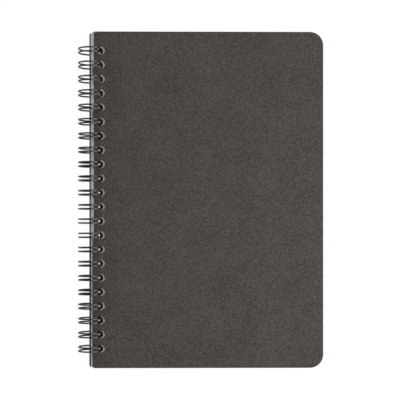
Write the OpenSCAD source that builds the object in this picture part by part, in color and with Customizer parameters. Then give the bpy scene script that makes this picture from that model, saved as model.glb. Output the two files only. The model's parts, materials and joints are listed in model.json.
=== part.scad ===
/* [Covers] */
// Width of each cover, from its spine edge to its fore edge
cover_w = 138; // [90:1:160]
// Length of each cover, from its bottom edge to its top edge
cover_l = 201; // [120:1:240]
// Thickness of each cover
cover_t = 1.2; // [1.1:0.1:1.5]
// Radius of the soft rim round the outer face of each cover
rim_r = 0.9; // [0.3:0.1:1]
// Radius of the two corners at the fore edge of each cover
fore_corner_r = 8; // [3:0.5:14]
// Radius of the two corners at the spine edge of each cover
spine_corner_r = 1.4; // [1.2:0.1:4]
// Distance from the spine edge of each cover to its line of holes
cover_margin = 5.2; // [4.6:0.1:5.4]

/* [Pages] */
// How far the covers reach past the sheets at the fore edge, measured from the lines of holes
fore_overlap = 1.6; // [1.2:0.1:12]
// How far the covers reach past the sheets at the top and the bottom edge
end_overlap = 0.6; // [0.5:0.1:4]
// Thickness of all the sheets together
page_t = 4.2; // [2.6:0.1:5]
// Radius of the two corners at the fore edge of a sheet
page_corner_r = 7; // [2:0.5:13]
// Distance from the spine edge of a sheet to its line of holes
page_margin = 4.8; // [4.4:0.1:5]
// How far the holes of the top sheet hang back from the wire, towards the spine
sheet_lag = 1.1; // [0.6:0.1:1.1]

/* [Holes] */
// Diameter of the holes for the loops
hole_d = 4.6; // [4.5:0.1:5]
// Distance between neighbouring holes, a third of an inch
loop_pitch = 8.467; // [7.5:0.001:10]
// Least distance from the last hole to the end of a cover
end_margin = 8; // [6:0.5:16]
// Radius that softens the mouth of each hole in the outer face of a cover
hole_lip_r = 0.35; // [0.2:0.05:0.6]

/* [Wire] */
// Diameter of the coated wire
wire_d = 0.95; // [0.8:0.05:1]
// Outer diameter of the closed rings
ring_od = 14.3; // [14:0.1:15.5]
// Distance between the two legs of one loop, centre to centre
leg_gap = 2.33; // [2.2:0.01:2.5]
// Radius of the bend from a base bar into a leg
bend_r = 1; // [0.8:0.05:1.2]
// Distance along the ring from the base bars to the tips of the loops, between centre lines
tip_gap = 0.6; // [0.25:0.05:0.9]
// Length of the cut stub of base bar at each end of the wire
stub_l = 1.2; // [0.5:0.1:2]

/* [Fits] */
// Gap between the bottom of the rings and the back cover above it
cover_gap = 0.55; // [0.4:0.05:1]
// Gap between a base bar and the back cover under it
bar_gap = 0.4; // [0.1:0.05:0.6]
// Clearance of the arch that the last sheets make over the base bars
arch_gap = 0.2; // [0.1:0.05:0.3]

/* [Hidden] */
$fn = 48;

// Centre line of the rings, in a frame whose origin is the axis of the rings
wire_r = wire_d / 2;
ring_r = ring_od / 2 - wire_r;
leg_y = leg_gap / 2;
function ring_reach(z) = sqrt(ring_r * ring_r - z * z);

// Heights of the stack beside the axis of the rings
back_bottom_z = -ring_od / 2 + wire_d + cover_gap;
back_top_z = back_bottom_z + cover_t;
page_top_z = back_top_z + page_t;
front_top_z = page_top_z + cover_t;

// Width and length of a sheet
page_w = cover_w - cover_margin + page_margin - fore_overlap;
page_l = cover_l - 2 * end_overlap;

// Distances from the axis of the rings to the holes of each leaf
back_hole_x = ring_reach(back_bottom_z + cover_t / 2);
front_hole_x = ring_reach(page_top_z + cover_t / 2);
page_foot_x = ring_reach(back_top_z);
page_head_x = ring_reach(page_top_z) - sheet_lag;
page_lean = atan2(page_head_x - page_foot_x, page_t);

// Holes along the spine
hole_r = hole_d / 2;
loops = floor((cover_l - 2 * end_margin) / loop_pitch) + 1;
first_hole_y = -(loops - 1) * loop_pitch / 2;

// The base bars lie just above the back cover, and the legs leave them along a tangent of the ring
bar_r = norm([ring_r, bend_r]);
bar_angle = asin((back_top_z + bar_gap + wire_r) / bar_r);
leg_start_angle = bar_angle - atan2(bend_r, ring_r);
tip_angle = bar_angle + 2 * asin(tip_gap / (2 * bar_r));
leg_end_angle = tip_angle + atan2(leg_y, ring_r);
leg_sweep = 360 - (leg_end_angle - leg_start_angle);
bar_x = bar_r * cos(bar_angle);
bar_z = bar_r * sin(bar_angle);

// The book leans on the fore edge of its back cover, because the rings lift its spine
back_rim_x = back_hole_x - cover_margin + cover_w - rim_r;
back_rim_z = back_bottom_z + rim_r;
rest_tilt = asin((ring_od / 2 - rim_r) / norm([back_rim_x, back_rim_z])) + atan2(back_rim_z, back_rim_x);
front_rim_x = front_hole_x - cover_margin + cover_w - rim_r;
front_reach = front_rim_x * cos(rest_tilt) + (front_top_z - rim_r) * sin(rest_tilt) + rim_r;
ring_x = (ring_od / 2 - front_reach) / 2;
ring_z = ring_od / 2;

// The wire swells by a hair where it is bent, and each bend laps a few degrees over its neighbours
bent_wire_r = wire_r + 0.005;
lap = 3;

// Amount by which a cut runs past a face
past = 1;

// Faces that meet keep the same digits in both pieces
function to_micron(length) = round(length * 1000) / 1000;

module at_rings()
{
    translate([ring_x, 0, ring_z])
    rotate([0, rest_tilt, 0])
    children();
}

// Places a child at the middle of each loop along the spine
module each_loop()
{
    for (i = [0 : loops - 1])
        translate([0, first_hole_y + i * loop_pitch, 0])
        children();
}

// Places a child at an angle on the ring, with its Z axis along the wire and its X axis outwards
module on_ring(angle)
{
    rotate([0, -angle, 0])
    translate([ring_r, 0, 0])
    children();
}

// One leg of a loop, round the axis of the rings from its tip to its bend
module leg()
{
    rotate([90, 0, 0])
    rotate([0, 0, leg_end_angle])
    rotate_extrude(angle = leg_sweep)
    translate([ring_r, 0])
    circle(r = wire_r);
}

// Wire bent in the plane of its own X and Y axes, round its own Z axis
module bent_wire(r, from, sweep)
{
    rotate([0, 0, from])
    rotate_extrude(angle = sweep)
    translate([r, 0])
    circle(r = bent_wire_r);
}

// The round tip that joins the two legs of a loop
module loop_tip()
{
    on_ring(leg_end_angle)
    rotate([0, 90, 0])
    bent_wire(leg_y, -90 - lap, 180 + 2 * lap);
}

// Bend from the base bar on the +Y side into the +Y leg
module root_bend()
{
    on_ring(leg_start_angle)
    translate([0, leg_y + bend_r, 0])
    rotate([0, -90, 0])
    bent_wire(bend_r, -90 - lap, 90 + 2 * lap);
}

// Straight wire along Y, from the end of the bend on the +Y side
module base_bar(length)
{
    on_ring(leg_start_angle)
    translate([0, leg_y + bend_r, bend_r])
    rotate([-90, 0, 0])
    cylinder(h = length, r = wire_r);
}

module half_loop()
{
    translate([0, leg_y, 0])
    leg();
    root_bend();
}

module twin_loop_wire()
{
    color("#1c1c1d")
    at_rings()
    {
        each_loop()
        {
            half_loop();
            mirror([0, 1, 0])
            half_loop();
            loop_tip();
        }
        for (i = [0 : loops - 2])
            translate([0, first_hole_y + i * loop_pitch, 0])
            base_bar(loop_pitch - leg_gap - 2 * bend_r);
        for (side = [0, 1])
            mirror([0, side, 0])
            translate([0, -first_hole_y, 0])
            base_bar(stub_l);
    }
}

// Half of the section of a cover's rim: flat inner face at z = 0, soft edge on the outer face
module rim_section(reach)
{
    square([reach - rim_r, cover_t]);
    square([reach, cover_t - rim_r]);
    translate([reach - rim_r, cover_t - rim_r])
    intersection()
    {
        circle(r = rim_r);
        square(rim_r);
    }
}

// Quarter of a disc with the cover's rim
module cover_corner(r)
{
    rotate_extrude(angle = 90)
    rim_section(r);
}

// Strip along Y whose rim faces +X
module cover_strip(reach, length)
{
    translate([0, length / 2, 0])
    rotate([90, 0, 0])
    linear_extrude(length)
    rim_section(reach);
}

// A cover with its holes on the line x = 0, its inner face at z = 0 and its outer face above
module cover()
{
    spine_x = spine_corner_r - cover_margin;
    fore_x = cover_w - cover_margin - fore_corner_r;
    spine_y = cover_l / 2 - spine_corner_r;
    fore_y = cover_l / 2 - fore_corner_r;
    difference()
    {
        union()
        {
            for (side = [0, 1])
                mirror([0, side, 0])
                {
                    translate([fore_x, 0, 0])
                    rotate([0, 0, 90])
                    translate([0, (fore_x - spine_x) / 2, 0])
                    cover_strip(cover_l / 2, fore_x - spine_x);
                    translate([fore_x, fore_y, 0])
                    cover_corner(fore_corner_r);
                    translate([spine_x, spine_y, 0])
                    rotate([0, 0, 90])
                    cover_corner(spine_corner_r);
                }
            translate([fore_x, 0, 0])
            cover_strip(fore_corner_r, 2 * fore_y);
            translate([spine_x, 0, 0])
            mirror([1, 0, 0])
            cover_strip(spine_corner_r, 2 * spine_y);
        }
        each_loop()
        {
            translate([0, 0, -past])
            cylinder(h = cover_t + 2 * past, r = hole_r);
            translate([0, 0, cover_t - hole_lip_r])
            cylinder(h = hole_lip_r, r1 = hole_r, r2 = hole_r + hole_lip_r);
        }
    }
}

module front_cover()
{
    color("#504c49")
    at_rings()
    translate([front_hole_x, 0, page_top_z])
    cover();
}

module back_cover()
{
    color("#504c49")
    at_rings()
    translate([back_hole_x, 0, back_top_z])
    mirror([0, 0, 1])
    cover();
}

// A tall block that gives a sheet's outline when it is cut across its lean, drilled along the line x = 0
module sheet_prism(height)
{
    across = cos(page_lean);
    spine_x = -to_micron(page_margin * across);
    fore_x = to_micron((page_w - page_margin) * across) - page_corner_r;
    fore_y = page_l / 2 - page_corner_r;
    difference()
    {
        union()
        {
            translate([spine_x, -page_l / 2, 0])
            cube([fore_x - spine_x, page_l, height]);
            translate([fore_x, -fore_y, 0])
            cube([page_corner_r, 2 * fore_y, height]);
            for (side = [0, 1])
                mirror([0, side, 0])
                translate([fore_x, fore_y, 0])
                rotate_extrude(angle = 90)
                square([page_corner_r, height]);
        }
        each_loop()
        translate([0, 0, -past])
        cylinder(h = height + 2 * past, r = hole_r);
    }
}

// Room for the base bars, which the last sheets arch over
module bar_arch()
{
    arch_r = wire_r + arch_gap;
    length = 2 * (leg_y + bend_r + stub_l + arch_gap - first_hole_y);
    translate([bar_x, 0, bar_z])
    rotate([90, 0, 0])
    cylinder(h = length, r = arch_r, center = true);
    translate([bar_x, 0, bar_z - past])
    cube([2 * arch_r, length, 2 * past], center = true);
}

module page_block()
{
    // The sheets follow the curve of the wire, so the block leans with its holes
    lean_z = page_t + page_w * sin(page_lean);
    color("#efece4")
    at_rings()
    difference()
    {
        intersection()
        {
            translate([page_foot_x, 0, back_top_z])
            rotate([0, page_lean, 0])
            translate([0, 0, -lean_z])
            sheet_prism(2 * lean_z + page_t);
            translate([-ring_od, -page_l, back_top_z])
            cube([2 * ring_od + page_w, 2 * page_l, page_t]);
        }
        bar_arch();
    }
}

twin_loop_wire();
page_block();
front_cover();
back_cover();
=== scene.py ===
"""Looks of a side-bound notebook: leatherette covers, a block of sheets and a black twin-loop wire."""

import json
import math

import bpy
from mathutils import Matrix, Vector


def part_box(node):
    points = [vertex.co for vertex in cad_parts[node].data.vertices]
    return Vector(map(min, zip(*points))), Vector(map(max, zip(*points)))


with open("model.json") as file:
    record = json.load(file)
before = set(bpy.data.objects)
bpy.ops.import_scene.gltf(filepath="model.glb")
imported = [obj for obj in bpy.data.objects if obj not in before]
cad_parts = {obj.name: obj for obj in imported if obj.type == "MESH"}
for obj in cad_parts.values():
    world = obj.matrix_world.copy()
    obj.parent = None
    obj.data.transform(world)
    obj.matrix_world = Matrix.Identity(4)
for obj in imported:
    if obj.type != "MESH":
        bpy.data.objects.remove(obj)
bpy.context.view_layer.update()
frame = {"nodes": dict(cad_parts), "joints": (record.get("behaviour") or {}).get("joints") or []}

MM = 0.001

# Photograph's view: straight down on the notebook, in metres
CAMERA_HEIGHT = 0.550
FIELD_WIDTH = 0.2384
VIEW_CENTRE = (-0.00045, -0.00014)
CAMERA_Y = -0.0175
SENSOR = 36.0
CLIP_NEAR, CLIP_FAR = 0.01, 20

# Finishes
LEATHER_PALE = (0.137, 0.1215, 0.1105, 1)
LEATHER_DEEP = (0.0280, 0.0232, 0.0198, 1)
# Pale bluish colour painted on the glossy spine rim: a painted reflection
LEATHER_PAINTED_SHEEN = (0.190, 0.205, 0.235, 1)
BOARD_CORE = (0.75, 0.75, 0.76, 1)
LINING = (0.035, 0.033, 0.031, 1)
PAPER = (0.86, 0.855, 0.845, 1)
# PAPER_SHADE greys the mottled page faces, and is the painted shade on the deeper sheets of the cut edges
PAPER_SHADE = (0.50, 0.49, 0.46, 1)
RULE_INK = (0.36, 0.40, 0.46, 1)
WIRE_BLACK = (0.003, 0.003, 0.0032, 1)
WIRE_SCUFF = (0.009, 0.009, 0.0095, 1)
# Pale grey painted on the tops of the legs over the front cover: a painted highlight
WIRE_PAINTED_HIGHLIGHT = (0.125, 0.125, 0.122, 1)
WHITE = (1, 1, 1, 1)
BLACK = (0, 0, 0, 1)
FLOOR_PALE = (0.8, 0.8, 0.8, 1)
FLOOR_SEEN = (0.08, 0.08, 0.08, 1)

# Punched holes, in millimetres. Their number is even, so two of them stand half a pitch from the middle
LOOP_PITCH = 8.467
HOLE_INSET = 5.2
HOLE_WALL = (2.5, 2.55)

# Leatherette, with lengths in millimetres. A noise is its scale for each millimetre, detail and roughness
GRAIN_BEND = (0.5, 0.9)
GRAIN_DRAW = (1.9, 0.50, 1.0)
PEBBLES = 2.2
FLECKS = (3.0, 2.0, 0.7)
CLOUDS = (0.05, 3.0, 0.6)
CREASE = (0.0, 0.20)
GRAIN_DEPTH = 0.06
GRAIN_TONE = 0.42
FLECK_TONE, FLECK_HEIGHT = 3.6, 0.6
PEBBLE_TONE, PEBBLE_HEIGHT = 0.5, 0.35
# Creases are darker in colour: painted shade in the grain's hollows
CREASE_SHADE_TONE, CREASE_HEIGHT = 0.25, 0.5
CREASE_MEAN = 0.8
CLOUD_TONE = 0.38
RIM = (-1.3, -0.5)
RIM_DARK = 0.12
RIM_FLAT = 0.85
# Painted shade on the leather along the spine edge, under the rings
SPINE_SHADE_REACH = (1.5, 6.0)
SPINE_PAINTED_SHADE = 0.24
# Stretch of the spine rim that is glossier and carries a painted pale bluish reflection
POLISH_SHEEN_REACH = (1.0, 2.4)
POLISH_SHEEN_START = (-26.0, -20.0)
POLISH_SHEEN_NOISE = (0.11, 1.0)
POLISH_SHEEN_BREAK = (0.36, 0.5)
LINING_FLECKS = (2.2, 3.0, 0.6)

# How far a face has to look along the leaf's normal to be the lining, no hole's wall or a page
LINING_TURN = (0.6, 0.8)
WALL_TURN = (0.3, 0.6)
PAGE_TURN = (0.75, 0.95)

# Sheets, with the ruled stretch of a page in millimetres from the axis of the rings
RULE_GAP = 7.0
RULE_LINE = (0.11, 0.20)
RULE_START_U = (9.5, 9.6)
RULE_END_U = (132.9, 133.0)
RULE_TOP_V = (85.9, 86.0)
SHEET_LINES = (0.03, 0.03, 5.5)
SHEETS = (1.0, 3.0, 0.7)
SHEET_SHADE, SHEET_LIGHT = 0.32, 0.62
FIBRES = (3.5, 4.0, 0.65)
PAGE_CLOUDS = (0.06, 2.0)
FIBRE_DEPTH = 0.012

# Wire: stretch on top of each leg over the front cover that gets a painted highlight, in millimetres from the
# axis of the rings
HIGHLIGHT_FROM = (1.0, 3.0)
HIGHLIGHT_TO = (4.7, 5.4)
HIGHLIGHT_ABOVE = (1.0, 3.0)
DIPS = (3.0, 2.0)
COAT_DEPTH = 0.006
SCUFFS = (0.6, 3.0, 0.6)
SCUFFED = (0.4, 0.75)

# Floor: half of its side in metres, and the strip of painted shadow under the spine edge in millimetres
FLOOR_HALF = 2.5
FLOOR_GLOW = 0.95
STRIP_GLOW = 0.03
STRIP_START = (-66.2, -65.2)
STRIP_END = (-56.0, -55.0)
STRIP_HALF = (97.0, 100.0)
GAP_LINE = -61.0
GAP_HALF = (0.5, 0.8)

# Soft light from all round
ROUND_LEVEL = 0.42
OVERHEAD_DROP = 0.24
FORE_SIDE = (0.25, 0.8)
FORE_SIDE_RISE = 0.5

# The leaves have directions of their own: u runs from the wire to the fore edge, v along the spine, and w
# out of the front cover
ring_axis = Vector(frame["joints"][0]["pos_m"])


def outer_normal(node):
    """Direction out of the upper flat face of a leaf."""
    faces = [p for p in frame["nodes"][node].data.polygons if p.normal.z > 0.99]
    total = sum((p.normal * p.area for p in faces), Vector())
    return total.normalized()


leaf_w = outer_normal("front_cover")
leaf_v = Vector((0, 1, 0))
leaf_u = leaf_v.cross(leaf_w)


def leaf_extent(node, direction):
    """Lowest and highest reach of a node from the axis of the rings in millimetres, along one direction."""
    reach = [(vertex.co - ring_axis).dot(direction) / MM for vertex in frame["nodes"][node].data.vertices]
    return min(reach), max(reach)


class Value:
    """An output of a node tree. Arithmetic on it adds Math nodes."""

    def __init__(self, shader, socket):
        self.shader = shader
        self.socket = socket

    def math(self, operation, *values):
        return self.shader.node("ShaderNodeMath", {"operation": operation}, values)

    def __add__(self, other):
        return self.math("ADD", self, other)

    __radd__ = __add__

    def __sub__(self, other):
        return self.math("SUBTRACT", self, other)

    def __rsub__(self, other):
        return self.math("SUBTRACT", other, self)

    def __mul__(self, other):
        return self.math("MULTIPLY", self, other)

    __rmul__ = __mul__

    def __truediv__(self, other):
        return self.math("DIVIDE", self, other)

    def __pow__(self, other):
        return self.math("POWER", self, other)

    def size(self):
        return self.math("ABSOLUTE", self)

    def root(self):
        return self.math("SQRT", self)

    def from_middle(self, pitch):
        """Distance to the middle of the stretch it falls in, with stretches a pitch long from zero on."""
        return (self.math("FRACT", self / pitch) - 0.5) * pitch

    def at_least(self, other):
        return self.math("MAXIMUM", self, other)

    def at_most(self, other):
        return self.math("MINIMUM", self, other)

    def rise(self, low, high):
        """0 below low, 1 above high, and smooth between them."""
        settings = {"interpolation_type": "SMOOTHSTEP"}
        return self.shader.node("ShaderNodeMapRange", settings, (self, low, high, 0.0, 1.0))

    def fall(self, low, high):
        """1 below low, 0 above high, and smooth between them."""
        return 1 - self.rise(low, high)


class Shader:
    """The node tree of a material or of the world."""

    def __init__(self, owner):
        owner.use_nodes = True
        self.tree = owner.node_tree
        self.tree.nodes.clear()

    def node(self, kind, settings=None, inputs=None, output=0):
        """Adds a node, sets it up, and returns one of its outputs."""
        made = self.tree.nodes.new(kind)
        for name, value in (settings or {}).items():
            if name == "stops":
                self.set_stops(made.color_ramp.elements, value)
            else:
                setattr(made, name, value)
        pairs = inputs.items() if isinstance(inputs, dict) else enumerate(inputs or ())
        for key, value in pairs:
            if isinstance(value, Value):
                self.tree.links.new(value.socket, made.inputs[key])
            else:
                made.inputs[key].default_value = value
        return Value(self, made.outputs[output]) if made.outputs else None

    def set_stops(self, elements, stops):
        """Gives a colour ramp its stops, each a place and a colour."""
        while len(elements) < len(stops):
            elements.new(1.0)
        for element, (place, colour) in zip(elements, stops):
            element.position = place
            element.color = colour

    def mix(self, factor, low, high):
        """Colour low where the factor is 0, and high where it is 1."""
        return self.node("ShaderNodeMix", {"data_type": "RGBA"}, {0: factor, 6: low, 7: high}, 2)

    def blend(self, factor, low, high):
        """Shader low where the factor is 0, and high where it is 1."""
        return self.node("ShaderNodeMixShader", {}, (factor, low, high))

    def ramp(self, factor, *stops):
        return self.node("ShaderNodeValToRGB", {"stops": stops}, {"Fac": factor})

    def vector(self, operation, *values, output=0):
        return self.node("ShaderNodeVectorMath", {"operation": operation}, values, output)

    def along(self, vector, direction):
        return self.vector("DOT_PRODUCT", vector, direction, output=1)

    def stretched(self, point, scale):
        return self.vector("MULTIPLY", point, scale)

    def place(self):
        """Point on the piece at rest, in millimetres from the axis of the rings."""
        point = self.node("ShaderNodeTexCoord", output=3)
        return self.stretched(self.vector("SUBTRACT", point, ring_axis), (1 / MM, 1 / MM, 1 / MM))

    def normal(self):
        """Direction out of the surface at rest."""
        return self.node("ShaderNodeTexCoord", output=1)

    def noise(self, point, scale, detail=2.0, roughness=0.5, output=0):
        inputs = {"Vector": point, "Scale": scale, "Detail": detail, "Roughness": roughness}
        return self.node("ShaderNodeTexNoise", {}, inputs, output)

    def bent(self, point, scale, reach):
        """The point moved by up to half a reach in mm, so that a pattern on it loses its straight rows."""
        shift = self.vector("SUBTRACT", self.noise(point, scale, output=1), (0.5, 0.5, 0.5))
        return self.vector("ADD", point, self.stretched(shift, (reach, reach, reach)))

    def cells(self, point, scale, feature="F1", output=0):
        inputs = {"Vector": point, "Scale": scale}
        return self.node("ShaderNodeTexVoronoi", {"feature": feature}, inputs, output)

    def bump(self, height, depth, strength):
        """Normal of a surface whose relief is height, from 0 to 1, times a depth in millimetres."""
        inputs = {"Strength": strength, "Distance": depth * MM, "Height": height}
        return self.node("ShaderNodeBump", {}, inputs)

    def surface(self, settings):
        """Ends the tree in a Principled shader with these sockets."""
        shade = self.node("ShaderNodeBsdfPrincipled", {}, settings)
        self.node("ShaderNodeOutputMaterial", {}, {"Surface": shade})

    def seen_directly(self):
        """1 for rays that show a surface as it is: from the camera, off gloss or through glass."""
        camera, gloss, glass = (self.node("ShaderNodeLightPath", output=name) for name in
                                ("Is Camera Ray", "Is Glossy Ray", "Is Transmission Ray"))
        return camera.at_least(gloss).at_least(glass)


def new_material(name):
    material = bpy.data.materials.new(name)
    return material, Shader(material)


def leatherette(node, facing):
    """Bonded leather with a fine grain on a board. Facing is 1 for the front cover, and -1 for the back."""
    material, s = new_material("leatherette_" + node)
    spine_u, fore_u = leaf_extent(node, leaf_u)
    low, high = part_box(node)
    half_length = (high.y - low.y) / 2 / MM
    point = s.place()
    u = s.along(point, leaf_u)
    v = s.along(point, leaf_v)
    past_spine = u - spine_u
    outward = s.along(s.normal(), leaf_w) * facing

    # Grain: small pebbles drawn out along the spine, with creases between them. The creases are also darker
    # in colour, a painted shade in the hollows
    drawn = s.stretched(s.bent(point, *GRAIN_BEND), GRAIN_DRAW)
    pebble = s.cells(drawn, PEBBLES)
    pebble_shade = s.along(s.cells(drawn, PEBBLES, output=1), (1, 0, 0))
    crease = s.cells(drawn, PEBBLES, "DISTANCE_TO_EDGE").rise(*CREASE)
    fleck = s.noise(drawn, *FLECKS)
    cloud = s.noise(point, *CLOUDS)
    height = crease * CREASE_HEIGHT + (1 - pebble) * PEBBLE_HEIGHT + fleck * FLECK_HEIGHT
    fine = (fleck - 0.5) * FLECK_TONE + (pebble_shade - 0.5) * PEBBLE_TONE
    coarse = (crease - CREASE_MEAN) * CREASE_SHADE_TONE + (cloud - 0.5) * CLOUD_TONE
    tone = (fine + coarse + GRAIN_TONE).at_least(0.0).at_most(1.0)
    grain = s.mix(tone, LEATHER_DEEP, LEATHER_PALE)

    # The grain is flatter on the rim, where the skin is drawn round the board, and the rim is a little
    # darker. Along the spine, under the rings, the colour takes a painted shade
    past_end = v.size() - half_length
    past_side = (u - (fore_u + spine_u) / 2).size() - (fore_u - spine_u) / 2
    rim = past_side.at_least(past_end).rise(*RIM)
    dark = (rim * RIM_DARK).at_least(past_spine.fall(*SPINE_SHADE_REACH) * SPINE_PAINTED_SHADE)
    skin = s.mix(dark, grain, LEATHER_DEEP)

    # The rim by the rings is glossier along the upper part of the spine, with breaks, and there its colour is
    # a painted pale bluish reflection
    wobble = s.noise(s.stretched(point, leaf_v), *POLISH_SHEEN_NOISE)
    polished_and_sheen_length = (v + wobble * 3.0).rise(*POLISH_SHEEN_START) * wobble.rise(*POLISH_SHEEN_BREAK)
    polish_and_painted_sheen = rim * past_spine.fall(*POLISH_SHEEN_REACH) * polished_and_sheen_length

    # The inner face is a plain dark lining
    lined = s.mix(s.noise(point, *LINING_FLECKS) * 0.6, LINING, LEATHER_DEEP)
    inside = (0 - outward).rise(*LINING_TURN)

    # The walls of the punched holes show the pale board under the skin
    from_hole = ((past_spine - HOLE_INSET) ** 2 + v.from_middle(LOOP_PITCH) ** 2).root()
    core = from_hole.fall(*HOLE_WALL) * outward.size().fall(*WALL_TURN)

    s.surface({
        "Base Color": s.mix(core, s.mix(inside, s.mix(polish_and_painted_sheen, skin, LEATHER_PAINTED_SHEEN), lined), BOARD_CORE),
        "Roughness": 0.75 + (fleck - 0.5) * 0.3 - polish_and_painted_sheen * 0.5,
        "Specular IOR Level": 0.16,
        "Coat Weight": polish_and_painted_sheen * (1 - core),
        "Coat IOR": 1.8,
        "Coat Roughness": 0.25,
        "Normal": s.bump(height * (1 - rim * RIM_FLAT), GRAIN_DEPTH, 0.8),
    })
    return material


def paper():
    """Uncoated writing paper: the faces are ruled, and the cut edges show the sheets."""
    material, s = new_material("writing_paper")
    point = s.place()
    u = s.along(point, leaf_u)
    v = s.along(point, leaf_v)
    w = s.along(point, leaf_w)
    flat = s.along(s.normal(), leaf_w).size().rise(*PAGE_TURN)

    # Lines of the sheets on the cut edges, with painted shade on the sheets that lie deeper
    layered = s.stretched(s.node("ShaderNodeCombineXYZ", {}, (u, v, w)), SHEET_LINES)
    sheets = s.noise(layered, *SHEETS)
    edge = s.ramp(sheets, (SHEET_SHADE, PAPER_SHADE), (SHEET_LIGHT, PAPER))

    # Pages, with ruled lines across them
    fibre = s.noise(point, *FIBRES)
    cloud = s.noise(point, *PAGE_CLOUDS)
    plain = s.mix((fibre - 0.5).size() * 0.5 + cloud * 0.1, PAPER, PAPER_SHADE)
    line = v.from_middle(RULE_GAP).size().fall(*RULE_LINE)
    within = u.rise(*RULE_START_U) * u.fall(*RULE_END_U) * v.fall(*RULE_TOP_V)
    page = s.mix(line * within * 0.55, plain, RULE_INK)

    s.surface({
        "Base Color": s.mix(flat, edge, page),
        "Roughness": 0.85,
        "Specular IOR Level": 0.3,
        "Normal": s.bump(fibre * flat + sheets * (1 - flat) * 3.0, FIBRE_DEPTH, 0.6),
    })
    return material


def coated_wire():
    """Black coating on steel wire, with the faint unevenness of the dip."""
    material, s = new_material("black_coated_wire")
    point = s.place()
    dip = s.noise(point, *DIPS)
    wear = s.noise(point, *SCUFFS)
    coating = s.mix(wear.rise(*SCUFFED) * 0.6, WIRE_BLACK, WIRE_SCUFF)

    # A pale grey is painted on the tops of the legs over the front cover, a painted highlight, and the
    # coating is rougher there
    u = s.along(point, leaf_u)
    w = s.along(point, leaf_w)
    painted_highlight_stretch = u.rise(*HIGHLIGHT_FROM) * u.fall(*HIGHLIGHT_TO) * w.rise(*HIGHLIGHT_ABOVE)

    s.surface({
        "Base Color": s.mix(painted_highlight_stretch, coating, WIRE_PAINTED_HIGHLIGHT),
        "Roughness": 0.26 + wear * 0.12 + painted_highlight_stretch * 0.15,
        "Specular IOR Level": 0.25,
        "Coat Weight": 0.05,
        "Coat Roughness": 0.16,
        "Normal": s.bump(dip, COAT_DEPTH, 0.3),
    })
    return material


def dress(node, material):
    """Gives a CAD node its material."""
    piece = frame["nodes"][node]
    piece.data.materials.clear()
    piece.data.materials.append(material)


def make_camera():
    """Camera whose sensor is shifted, so that it looks straight down from a little below the middle."""
    data = bpy.data.cameras.new("camera")
    camera = bpy.data.objects.new("camera", data)
    bpy.context.scene.collection.objects.link(camera)
    cover_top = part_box("front_cover")[1].z
    camera.location = (VIEW_CENTRE[0], CAMERA_Y, cover_top + CAMERA_HEIGHT)
    data.sensor_width = SENSOR
    data.lens = SENSOR * CAMERA_HEIGHT / FIELD_WIDTH
    data.shift_y = (VIEW_CENTRE[1] - CAMERA_Y) / FIELD_WIDTH
    data.clip_start = CLIP_NEAR
    data.clip_end = CLIP_FAR
    bpy.context.scene.camera = camera


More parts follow.
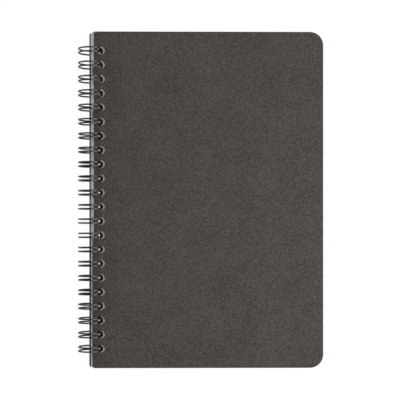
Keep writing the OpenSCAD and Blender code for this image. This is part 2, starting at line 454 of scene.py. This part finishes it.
def make_floor():
    """Pale floor that looks white, keeps the notebook's faint shadow and has a painted shadow under the spine
    edge.
    """
    mesh = bpy.data.meshes.new("floor")
    corners = [(x * FLOOR_HALF, y * FLOOR_HALF, 0) for x, y in ((-1, -1), (1, -1), (1, 1), (-1, 1))]
    mesh.from_pydata(corners, [], [(0, 1, 2, 3)])
    floor = bpy.data.objects.new("floor", mesh)
    bpy.context.scene.collection.objects.link(floor)
    material, s = new_material("floor")
    mesh.materials.append(material)

    # A shadow is painted on the floor's glow in a strip under the spine edge, with a line of light left
    # through the holes
    place = s.node("ShaderNodeTexCoord", output=3)
    x = s.along(place, (1 / MM, 0, 0))
    y = s.along(place, (0, 1 / MM, 0))
    strip = x.rise(*STRIP_START) * x.fall(*STRIP_END) * y.size().fall(*STRIP_HALF)
    shade = strip * (x - GAP_LINE).size().rise(*GAP_HALF)

    # Seen, it glows and takes little light. To other rays it is a pale floor
    bright, dim = (s.node("ShaderNodeEmission", {}, {"Color": WHITE, "Strength": strength})
                   for strength in (FLOOR_GLOW, STRIP_GLOW))
    shadowed = s.node("ShaderNodeBsdfDiffuse", {}, {"Color": FLOOR_SEEN})
    seen = s.node("ShaderNodeAddShader", {}, (shadowed, s.blend(shade, bright, dim)))
    pale = s.node("ShaderNodeBsdfDiffuse", {}, {"Color": FLOOR_PALE})
    s.node("ShaderNodeOutputMaterial", {}, {"Surface": s.blend(s.seen_directly(), pale, seen)})


def make_world():
    """White to look at. Its light is soft, dim from overhead and brightest from the side of the fore edge."""
    world = bpy.data.worlds.new("studio")
    bpy.context.scene.world = world
    s = Shader(world)
    direction = s.node("ShaderNodeTexCoord", output=0)
    upward = s.along(direction, (0, 0, 1)).at_least(0.0)
    fore_side = s.along(direction, (1, 0, 0)).rise(*FORE_SIDE)
    level = ROUND_LEVEL - upward * OVERHEAD_DROP + fore_side * FORE_SIDE_RISE
    light = s.node("ShaderNodeBackground", {}, {"Color": s.mix(level, BLACK, WHITE), "Strength": 1.0})
    white = s.node("ShaderNodeBackground", {}, {"Color": WHITE, "Strength": 1.0})
    s.node("ShaderNodeOutputWorld", {}, {"Surface": s.blend(s.seen_directly(), light, white)})


def area_lamp(name, centre, size, share, colour):
    """Soft panel turned to the notebook. Share is the part of plain white that it gives a flat page there."""
    away = Vector(centre)
    data = bpy.data.lights.new(name, "AREA")
    data.shape = "RECTANGLE"
    data.size, data.size_y = size
    data.color = colour
    data.energy = share * math.pi ** 2 * away.length ** 3 / away.z
    lamp = bpy.data.objects.new(name, data)
    bpy.context.scene.collection.objects.link(lamp)
    lamp.location = centre
    lamp.rotation_mode = "QUATERNION"
    lamp.rotation_quaternion = away.to_track_quat("Z", "Y")


def make_lights():
    """A plain panel over the fore edge, and a weak, cool one far out on the side of the wire."""
    area_lamp("right_panel", (0.36, -0.06, 0.32), (0.70, 0.20), 0.59, (1, 1, 1))
    area_lamp("left_panel", (-0.97, 0.17, 0.34), (0.50, 0.40), 0.16, (0.88, 0.94, 1.0))


def main():
    bpy.context.scene.view_settings.view_transform = "Standard"
    make_camera()
    make_world()
    make_lights()
    make_floor()
    dress("front_cover", leatherette("front_cover", 1))
    dress("back_cover", leatherette("back_cover", -1))
    dress("page_block", paper())
    dress("twin_loop_wire", coated_wire())


main()
